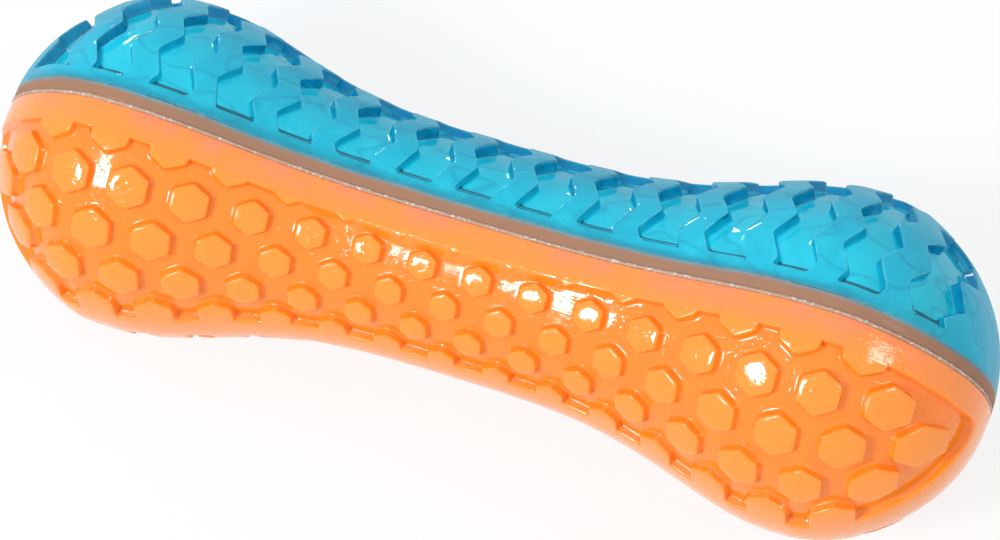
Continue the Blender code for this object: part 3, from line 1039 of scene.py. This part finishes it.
@dataclass(frozen=True)
class SeamBead:
    """Bead of clear adhesive that fills the joint line round the toy."""

    depth: float = 0.00030
    level: float = 0.0003
    thickness: float = 0.00037
    swell: float = 0.00006
    steps: int = 420
    sides: int = 2
    seed: int = 5

    def route(self) -> np.ndarray:
        """Follows the joint line, over the top to one end and back underneath.

        Returns:
            One row of X, Y and Z for each point of the closed run.
        """
        upper = FORM.station_of(FORM.half_arc * np.linspace(-1.0, 1.0, self.steps))
        stations = np.concatenate([upper, upper[-2:0:-1]])
        turns = np.concatenate([np.zeros(len(upper)), np.full(len(upper) - 2, np.pi)])
        rows = FORM.place(stations, turns, np.full(len(stations), self.depth), Side.TREAD, 0.0)
        rows[:, 1] = self.level
        return rows

    def build(self, name: str) -> bpy.types.Object:
        """Makes the bead from a thick, unevenly swollen curve, trimmed flush, and dresses it.

        Args:
            name: Name of the piece.

        Returns:
            The piece.
        """
        rows = self.route()
        curve = bpy.data.curves.new(name, "CURVE")
        curve.dimensions = "3D"
        curve.bevel_depth = self.thickness
        curve.bevel_resolution = self.sides
        spline = curve.splines.new("POLY")
        spline.points.add(len(rows) - 1)
        spline.use_cyclic_u = True
        swells = np.random.default_rng(self.seed).uniform(-1.0, 1.0, len(rows))
        for point, row, uneven in zip(spline.points, rows, swells):
            point.co = (*row, 1.0)
            point.radius = 1.0 + uneven * self.swell / self.thickness
        item = bpy.data.objects.new(name, curve)
        bpy.context.scene.collection.objects.link(item)
        only(item)
        bpy.ops.object.convert(target="MESH")
        rows = coordinates(item)
        rows[:, 0] = np.clip(rows[:, 0], -FORM.half, FORM.half)
        rows[:, 2] = np.clip(rows[:, 2], 0.0, 2 * FORM.axis_height)
        set_coordinates(item, rows)
        weld(item)
        bpy.ops.object.shade_smooth()
        item.data.materials.append(CuredGlue().material())
        return item


class Recipe:
    """Node tree of one material, put together node by node."""

    def __init__(self, name: str) -> None:
        self.material = bpy.data.materials.new(name)
        self.material.use_nodes = True
        self.tree = self.material.node_tree
        self.tree.nodes.clear()
        self.output = self.tree.nodes.new("ShaderNodeOutputMaterial")

    def add(
        self, kind: str, inputs: dict[str | int, object] | None = None, **settings: object
    ) -> bpy.types.Node:
        """Adds a node.

        Args:
            kind: Blender's name of the node, without ShaderNode.
            inputs: Values of its sockets, or sockets to link to them.
            settings: Its properties.

        Returns:
            The node.
        """
        node = self.tree.nodes.new(f"ShaderNode{kind}")
        for name, value in settings.items():
            setattr(node, name, value)
        for key, value in (inputs or {}).items():
            if isinstance(value, Socket):
                self.tree.links.new(value, node.inputs[key])
            else:
                node.inputs[key].default_value = value
        return node

    def surface(self, socket: Socket) -> None:
        """Links the finished surface to the output."""
        self.tree.links.new(socket, self.output.inputs["Surface"])

    def volume(self, socket: Socket) -> None:
        """Links the finished volume to the output."""
        self.tree.links.new(socket, self.output.inputs["Volume"])

    def object_place(self) -> Socket:
        """Place on the object, in metres."""
        return self.add("TexCoord").outputs["Object"]

    def noise(self, scale: float, detail: float = 2.0, place: object = None) -> Socket:
        """Value of a noise of a given scale over the object."""
        vector = place if place is not None else self.object_place()
        inputs = {"Vector": vector, "Scale": scale, "Detail": detail}
        return self.add("TexNoise", inputs).outputs["Fac"]

    def stretched(self, scale: tuple[float, float, float]) -> Socket:
        """Place on the object, scaled along each axis."""
        inputs = {"Vector": self.object_place(), "Scale": scale}
        return self.add("Mapping", inputs).outputs["Vector"]

    def ramp(
        self, value: Socket, low: float, high: float, start: float, end: float
    ) -> Socket:
        """Maps a value from one range to another."""
        inputs = {0: value, 1: low, 2: high, 3: start, 4: end}
        return self.add("MapRange", inputs).outputs[0]

    def calculate(self, operation: str, *values: object) -> Socket:
        """Result of one sum on values or sockets."""
        return self.add("Math", dict(enumerate(values)), operation=operation).outputs[0]

    def blend(self, share: object, first: object, second: object) -> Socket:
        """Colour between two colours."""
        node = self.add("Mix", {0: share, 6: first, 7: second}, data_type="RGBA")
        return node.outputs[2]

    def bump(
        self,
        height: Socket,
        strength: float | Socket,
        distance: float,
        under: Socket | None = None,
    ) -> Socket:
        """Normal bent by a height."""
        inputs: dict[str | int, object] = {
            "Height": height, "Strength": strength, "Distance": distance,
        }
        if under is not None:
            inputs["Normal"] = under
        return self.add("Bump", inputs).outputs["Normal"]


@dataclass(frozen=True)
class OrangeRubber:
    """Opaque orange rubber, glossy, with fine tool marks along the grip's sunk field."""

    name: str = "orange_rubber"
    # Painted shade: crest and ground are one orange, and the sunk field is painted darker than the
    # standing studs.
    crest: Colour = (0.98, 0.284, 0.022, 1.0)
    ground: Colour = (0.98, 0.242, 0.009, 1.0)
    # Painted sheen: a paler pink laid along the seam rim, standing in for wavy highlight streaks.
    rim: Colour = (0.98, 0.245, 0.095, 1.0)
    glued: Colour = (0.95, 0.25, 0.08, 1.0)
    roughness: float = 0.075
    depth: float = 0.0016
    ledge_offsets: tuple[float, float] = (-0.00035, 0.00030)
    ledge_width: float = 0.00020

    def material(self) -> bpy.types.Material:
        """Makes the material."""
        recipe = Recipe(self.name)
        sink = recipe.add("Attribute", attribute_name="sink").outputs["Fac"]
        low = recipe.ramp(sink, 0.0, self.depth, 0.0, 1.0)
        # Painted shade: the colour darkens with depth below the skin, from crest to ground.
        body = recipe.blend(low, self.crest, self.ground)
        across = recipe.add("SeparateXYZ", {0: recipe.object_place()}).outputs["Y"]
        # Painted sheen: pale pink patches near the seam, standing in for highlight streaks on the
        # rim.
        edge = recipe.ramp(across, -0.006, -0.001, 0.0, 1.0)
        patches = recipe.ramp(recipe.noise(140.0, 3.0), 0.42, 0.60, 0.35, 1.0)
        painted_light_colour = recipe.blend(recipe.calculate("MULTIPLY", edge, patches), body, self.rim)
        glued = recipe.ramp(across, 0.0, 0.0002, 0.0, 1.0)
        colour = recipe.blend(glued, painted_light_colour, self.glued)
        rough = recipe.ramp(
            recipe.noise(90.0), 0.3, 0.7, self.roughness - 0.03, self.roughness + 0.05
        )
        shader_normal = self.relief(recipe, low)
        shader = recipe.add(
            "BsdfPrincipled",
            {
                "Base Color": colour,
                "Roughness": rough,
                "Normal": shader_normal,
                "Subsurface Weight": 0.2,
                "Subsurface Radius": (1.0, 0.35, 0.12),
                "Subsurface Scale": 0.0012,
                "IOR": 1.58,
            },
        )
        recipe.surface(shader.outputs["BSDF"])
        return recipe.material

    def relief(self, recipe: Recipe, low: Socket) -> Socket:
        """Bends the normal by the skin's ripple, the grip's tool marks and the ledge's flash.

        Args:
            recipe: The material's nodes.
            low: 0 on the standing ground and 1 on the sunk field.

        Returns:
            The bent normal.
        """
        soft = recipe.bump(recipe.noise(330.0, 1.0), 0.4, 0.00015)
        lines = recipe.noise(1.0, 2.0, recipe.stretched((40.0, 2600.0, 2600.0)))
        along = recipe.add("SeparateXYZ", {0: recipe.object_place()}).outputs["X"]
        away = recipe.calculate("ABSOLUTE", along)
        grip = recipe.ramp(away, 0.022, 0.045, 1.0, 0.0)
        cut = recipe.calculate("MULTIPLY", grip, low)
        ledge = recipe.add("Attribute", attribute_name="ledge").outputs["Fac"]
        on_rim = recipe.ramp(ledge, -0.0012, -0.0004, 0.45, 0.0)
        depth = recipe.ramp(recipe.calculate("MAXIMUM", cut, on_rim), 0.0, 1.0, 0.04, 0.5)
        fine = recipe.bump(lines, depth, 0.00009, soft)
        height = None
        for offset in self.ledge_offsets:
            gap = recipe.calculate("ABSOLUTE", recipe.calculate("SUBTRACT", ledge, offset))
            ridge = recipe.ramp(gap, 0.0, self.ledge_width, 1.0, 0.0)
            height = ridge if height is None else recipe.calculate("MAXIMUM", height, ridge)
        broken = recipe.ramp(recipe.noise(1100.0, 2.0), 0.35, 0.62, 0.15, 1.0)
        flash = recipe.calculate("MULTIPLY", height, broken)
        reach = recipe.ramp(away, 0.045, 0.080, 1.0, 0.25)
        flashed = recipe.bump(flash, reach, 0.00005, fine)
        pits = recipe.ramp(recipe.noise(1300.0, 1.0), 0.60, 0.72, 0.0, 1.0)
        return recipe.bump(pits, 0.5, 0.00005, flashed)


@dataclass(frozen=True)
class ClearBlueRubber:
    """See-through blue rubber: its skin is glossy, and its hollow's lining is hazy."""

    name: str = "clear_blue_rubber"
    tint: Colour = (0.03, 0.82, 0.93, 1.0)
    density: float = 260.0
    haze: tuple[Colour, Colour] = ((0.010, 0.40, 0.57, 1.0), (0.040, 0.64, 0.80, 1.0))
    # Painted shade: darker blues laid on the pocket walls.
    wall: tuple[Colour, Colour] = ((0.0, 0.22, 0.38, 1.0), (0.01, 0.41, 0.60, 1.0))
    # Painted highlight: pale colour along the rib crests.
    crest: Colour = (0.22, 0.66, 0.78, 1.0)
    foot_shade: Colour = (0.030, 0.10, 0.14, 1.0)
    rim: Colour = (0.003, 0.34, 0.53, 1.0)
    stain: tuple[Colour, Colour] = ((0.33, 0.20, 0.14, 1.0), (0.43, 0.20, 0.12, 1.0))
    roughness: float = 0.05
    haze_share: float = 0.32
    # Share of haze that carries the painted wall shade.
    wall_shade_share: float = 0.58
    stain_share: float = 0.86

    def skin(self) -> bpy.types.Material:
        """Makes the material of the outside."""
        recipe = Recipe(self.name)
        soft = recipe.bump(recipe.noise(260.0, 1.0), 0.4, 0.0003)
        shader = recipe.add(
            "BsdfPrincipled",
            {
                "Base Color": (0.75, 1.0, 1.0, 1.0),
                "Roughness": self.roughness,
                "Normal": soft,
                "Transmission Weight": 1.0,
                "IOR": 1.45,
            },
        )
        colour, share = self.veil(recipe)
        veil = recipe.add("BsdfDiffuse", {"Color": colour, "Normal": soft})
        mixed = recipe.add("MixShader", {0: share, 1: shader.outputs[0], 2: veil.outputs[0]})
        lit = recipe.add("LightPath").outputs["Is Shadow Ray"]
        through = recipe.add("BsdfTransparent", {"Color": (0.95, 0.98, 1.0, 1.0)})
        both = recipe.add("MixShader", {0: lit, 1: mixed.outputs[0], 2: through.outputs[0]})
        recipe.surface(both.outputs[0])
        tint = recipe.add("VolumeAbsorption", {"Color": self.tint, "Density": self.density})
        recipe.volume(tint.outputs[0])
        return recipe.material

    def veil(self, recipe: Recipe) -> tuple[Socket, Socket]:
        """Hazy colour in the rubber: deeper edge-on, brown over the glued tongue, with painted
        shade on the pocket walls and along the pockets' feet, and a painted highlight along the
        rib crests.

        Args:
            recipe: The material's nodes.

        Returns:
            The haze's colour, and how much of it hides the clear rubber.
        """
        sink = recipe.add("Attribute", attribute_name="sink").outputs["Fac"]
        started = recipe.ramp(sink, 0.00012, 0.00030, 0.0, 1.0)
        # Painted shade: the pocket walls are masked by depth below the skin.
        wall = recipe.calculate("MULTIPLY", started, recipe.ramp(sink, 0.0016, 0.0019, 1.0, 0.0))
        across = recipe.add("SeparateXYZ", {0: recipe.object_place()}).outputs["Y"]
        wander = recipe.ramp(recipe.noise(70.0), 0.3, 0.7, -0.0002, 0.0002)
        glued = recipe.ramp(recipe.calculate("ADD", across, wander), 0.0024, 0.0036, 1.0, 0.0)
        facing = recipe.add("LayerWeight", {0: 0.5}).outputs["Facing"]
        edge_on = recipe.ramp(facing, 0.45, 0.95, 0.0, 0.75)
        cloud = recipe.ramp(recipe.noise(1400.0, 3.0), 0.38, 0.62, 0.0, 1.0)
        patches = recipe.ramp(recipe.noise(210.0, 2.0), 0.42, 0.56, 0.30, 1.0)
        cloud = recipe.calculate("MULTIPLY", cloud, patches)
        colour = recipe.blend(cloud, *self.haze)
        colour = recipe.blend(edge_on, colour, self.rim)
        colour = recipe.blend(wall, colour, recipe.blend(recipe.noise(420.0), *self.wall))
        # Painted highlight: a pale line along the rib crests, broken up by noise.
        crest = recipe.calculate(
            "MULTIPLY",
            recipe.ramp(sink, 0.00003, 0.00009, 0.0, 1.0),
            recipe.ramp(sink, 0.00022, 0.00032, 1.0, 0.0),
        )
        # Noise that breaks up the painted highlight.
        highlight_breakup = recipe.ramp(recipe.noise(600.0), 0.4, 0.6, 0.2, 1.0)
        crest = recipe.calculate("MULTIPLY", crest, highlight_breakup)
        colour = recipe.blend(crest, colour, self.crest)
        inward = recipe.add("Attribute", attribute_name="ledge").outputs["Fac"]
        deep = recipe.ramp(sink, 0.0010, 0.0014, 0.0, 1.0)
        near = recipe.ramp(inward, 0.0016, 0.0019, 1.0, 0.0)
        shaded = recipe.calculate("MULTIPLY", deep, near)
        colour = recipe.blend(shaded, colour, self.foot_shade)
        colour = recipe.blend(glued, colour, recipe.blend(recipe.noise(160.0), *self.stain))
        share = recipe.ramp(wall, 0.0, 1.0, self.haze_share, self.wall_shade_share)
        share = recipe.calculate("MAXIMUM", share, edge_on)
        share = recipe.calculate("MAXIMUM", share, recipe.ramp(shaded, 0.0, 1.0, 0.0, 0.85))
        return colour, recipe.calculate(
            "MAXIMUM", share, recipe.ramp(glued, 0.0, 1.0, 0.0, self.stain_share)
        )

    def lining(self) -> bpy.types.Material:
        """Makes the material of the hollow's inner face."""
        recipe = Recipe(f"{self.name}_lining")
        tone = recipe.blend(recipe.noise(60.0), (0.03, 0.84, 0.80, 1.0), (0.06, 0.97, 0.92, 1.0))
        # Painted reflection: thin dark curved lines on the lining stand in for the ribs'
        # reflection.
        place = recipe.stretched((55.0, 130.0, 130.0))
        middle = recipe.calculate("SUBTRACT", recipe.noise(1.0, 1.0, place), 0.5)
        gap = recipe.calculate("ABSOLUTE", middle)
        rib_reflection_lines = recipe.ramp(gap, 0.0, 0.035, 0.42, 0.0)
        tone = recipe.blend(rib_reflection_lines, tone, (0.0, 0.34, 0.44, 1.0))
        shader = recipe.add("BsdfPrincipled", {"Base Color": tone, "Roughness": 0.6})
        recipe.surface(shader.outputs[0])
        return recipe.material


@dataclass(frozen=True)
class CuredGlue:
    """Cured clear adhesive with small pale bubbles."""

    name: str = "clear_glue"

    def material(self) -> bpy.types.Material:
        """Makes the material."""
        recipe = Recipe(self.name)
        share = recipe.ramp(recipe.noise(1500.0, 3.0), 0.56, 0.68, 0.0, 1.0)
        stain = recipe.blend(recipe.noise(150.0), (0.40, 0.23, 0.15, 1.0), (0.50, 0.36, 0.28, 1.0))
        colour = recipe.blend(share, stain, (0.62, 0.72, 0.72, 1.0))
        shader = recipe.add("BsdfPrincipled", {"Base Color": colour, "Roughness": 0.6})
        recipe.surface(shader.outputs[0])
        return recipe.material


@dataclass(frozen=True)
class MouldedPlastic:
    """Hard or waxy plastic of the squeaker's parts, with a faint moulding grain."""

    name: str
    base: Colour
    roughness: float
    grain: float = 400.0

    def material(self) -> bpy.types.Material:
        """Makes the material."""
        recipe = Recipe(self.name)
        noise = recipe.noise(self.grain)
        darker = tuple(0.86 * part for part in self.base[:3]) + (1.0,)
        colour = recipe.blend(noise, darker, self.base)
        rough = recipe.ramp(noise, 0.3, 0.7, self.roughness - 0.05, self.roughness + 0.08)
        normal = recipe.bump(noise, 0.15, 0.0001)
        shader = recipe.add(
            "BsdfPrincipled", {"Base Color": colour, "Roughness": rough, "Normal": normal}
        )
        recipe.surface(shader.outputs[0])
        return recipe.material


@dataclass
class Squeaker:
    """Squeaker that lies in the orange half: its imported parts, each with its own finish."""

    finishes: dict[str, MouldedPlastic] = field(
        default_factory=lambda: {
            "squeaker_bulb": MouldedPlastic("milky_polyethylene", (0.80, 0.80, 0.76, 1.0), 0.35),
            "squeaker_collar": MouldedPlastic("white_polystyrene", (0.82, 0.82, 0.80, 1.0), 0.3),
            "reed_channel": MouldedPlastic("black_polystyrene", (0.03, 0.03, 0.03, 1.0), 0.3),
            "reed_clamp": MouldedPlastic("grey_polystyrene", (0.25, 0.25, 0.26, 1.0), 0.35),
            "squeaker_reed": MouldedPlastic("reed_film", (0.75, 0.72, 0.60, 1.0), 0.25),
        }
    )

    def dress(self, nodes: dict[str, bpy.types.Object]) -> None:
        """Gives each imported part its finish."""
        for name, finish in self.finishes.items():
            node = nodes[name]
            node.data.materials.clear()
            node.data.materials.append(finish.material())
            LOG.info("dressed %s", name)


@dataclass
class Studio:
    """Pale floor, soft lamps and the camera at the photograph's angle."""

    floor_size: float = 6.0
    sky: float = 0.76
    horizon: float = 0.35
    lens: float = 120.285
    camera_place: tuple[float, float, float] = (0.157764, -0.156906, 0.595035)
    camera_right: tuple[float, float, float] = (0.92735278, 0.33783173, -0.16089295)
    camera_up: tuple[float, float, float] = (-0.27326629, 0.90517035, 0.32556439)

    def build(self) -> None:
        """Makes the floor, the lamps, the sky and the camera."""
        self.lay_floor()
        self.light_sky()
        self.hang_lamp("key", (-0.46, -0.60, 0.97), (0.25, 0.32), 8.6)
        self.hang_lamp("fill", (1.0, 0.17, 0.85), (0.3, 0.3), 2.5)
        self.hang_lamp("glint", (-0.60, 0.78, 0.14), (0.22, 0.07), 1.3)
        self.set_camera()

    def lay_floor(self) -> None:
        """Pale floor that the toy lies on."""
        bpy.ops.mesh.primitive_plane_add(size=self.floor_size, location=(0.0, 0.0, 0.0))
        floor = bpy.context.object
        floor.name = "studio_floor"
        recipe = Recipe("studio_floor")
        matt = recipe.add("BsdfDiffuse", {"Color": (0.8, 0.8, 0.8, 1.0)})
        pale = recipe.add("Emission", {"Color": (1.0, 1.0, 1.0, 1.0), "Strength": 1.0})
        path = recipe.add("LightPath").outputs
        seen = recipe.calculate("MAXIMUM", path["Is Camera Ray"], path["Is Glossy Ray"])
        seen = recipe.calculate("MAXIMUM", seen, path["Is Transmission Ray"])
        share = recipe.ramp(seen, 0.0, 1.0, 0.0, 0.8)
        mixed = recipe.add("MixShader", {0: share, 1: matt.outputs[0], 2: pale.outputs[0]})
        recipe.surface(mixed.outputs[0])
        floor.data.materials.append(recipe.material)

    def light_sky(self) -> None:
        """Pale sky, brighter overhead, and shown white where it is seen."""
        world = bpy.data.worlds.new("studio_sky")
        world.use_nodes = True
        tree = world.node_tree
        background = tree.nodes["Background"]
        background.inputs["Color"].default_value = (1.0, 1.0, 1.0, 1.0)
        path = tree.nodes.new("ShaderNodeLightPath")
        seen = tree.nodes.new("ShaderNodeMath")
        seen.operation = "MAXIMUM"
        clear = tree.nodes.new("ShaderNodeMath")
        clear.operation = "MAXIMUM"
        tree.links.new(path.outputs["Is Glossy Ray"], clear.inputs[0])
        tree.links.new(path.outputs["Is Transmission Ray"], clear.inputs[1])
        tree.links.new(path.outputs["Is Camera Ray"], seen.inputs[0])
        tree.links.new(clear.outputs[0], seen.inputs[1])
        place = tree.nodes.new("ShaderNodeTexCoord")
        height = tree.nodes.new("ShaderNodeSeparateXYZ")
        tree.links.new(place.outputs["Generated"], height.inputs[0])
        glow = tree.nodes.new("ShaderNodeMapRange")
        glow.inputs["From Min"].default_value = 0.0
        glow.inputs["From Max"].default_value = 0.6
        glow.inputs["To Min"].default_value = self.horizon
        glow.inputs["To Max"].default_value = self.sky
        tree.links.new(height.outputs["Z"], glow.inputs["Value"])
        level = tree.nodes.new("ShaderNodeMapRange")
        level.inputs["To Max"].default_value = 1.0
        tree.links.new(glow.outputs[0], level.inputs["To Min"])
        tree.links.new(seen.outputs[0], level.inputs["Value"])
        tree.links.new(level.outputs[0], background.inputs["Strength"])
        bpy.context.scene.world = world

    def hang_lamp(
        self, name: str, place: tuple[float, float, float], size: tuple[float, float], power: float
    ) -> None:
        """Soft rectangular lamp that points at the toy."""
        data = bpy.data.lights.new(name, "AREA")
        data.shape = "RECTANGLE"
        data.size, data.size_y = size
        data.energy = power
        lamp = bpy.data.objects.new(name, data)
        lamp.location = place
        aim = Vector((0.0, 0.0, FORM.axis_height)) - Vector(place)
        lamp.rotation_euler = aim.to_track_quat("-Z", "Y").to_euler()
        bpy.context.scene.collection.objects.link(lamp)

    def set_camera(self) -> None:
        """Camera at the photograph's viewing angle."""
        data = bpy.data.cameras.new("studio_camera")
        data.lens = self.lens
        data.clip_start = 0.01
        camera = bpy.data.objects.new("studio_camera", data)
        right, up = Vector(self.camera_right), Vector(self.camera_up)
        turn = Matrix((right, up, right.cross(up))).transposed()
        camera.matrix_world = Matrix.Translation(self.camera_place) @ turn.to_4x4()
        bpy.context.scene.collection.objects.link(camera)
        bpy.context.scene.camera = camera


def settle(piece: bpy.types.Object, node: str) -> None:
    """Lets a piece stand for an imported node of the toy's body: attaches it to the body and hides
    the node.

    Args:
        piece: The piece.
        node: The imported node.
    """
    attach(piece, Body.TOY.value)
    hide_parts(node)
    LOG.info("built %s, %d faces", piece.name, len(piece.data.polygons))


def main() -> None:
    """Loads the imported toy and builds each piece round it."""
    logging.basicConfig(level=logging.INFO, format="%(name)s: %(message)s")
    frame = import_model()
    bpy.ops.object.select_all(action="DESELECT")

    settle(StudHalf().build("stud_half"), "stud_shell")
    settle(TreadHalf().build("tread_half"), "tread_shell")
    settle(SeamBead().build("seam_bead"), "seam_glue")
    Squeaker().dress(frame["nodes"])
    Studio().build()
    bpy.context.scene.view_settings.view_transform = "Standard"


if __name__ == "__main__":
    main()
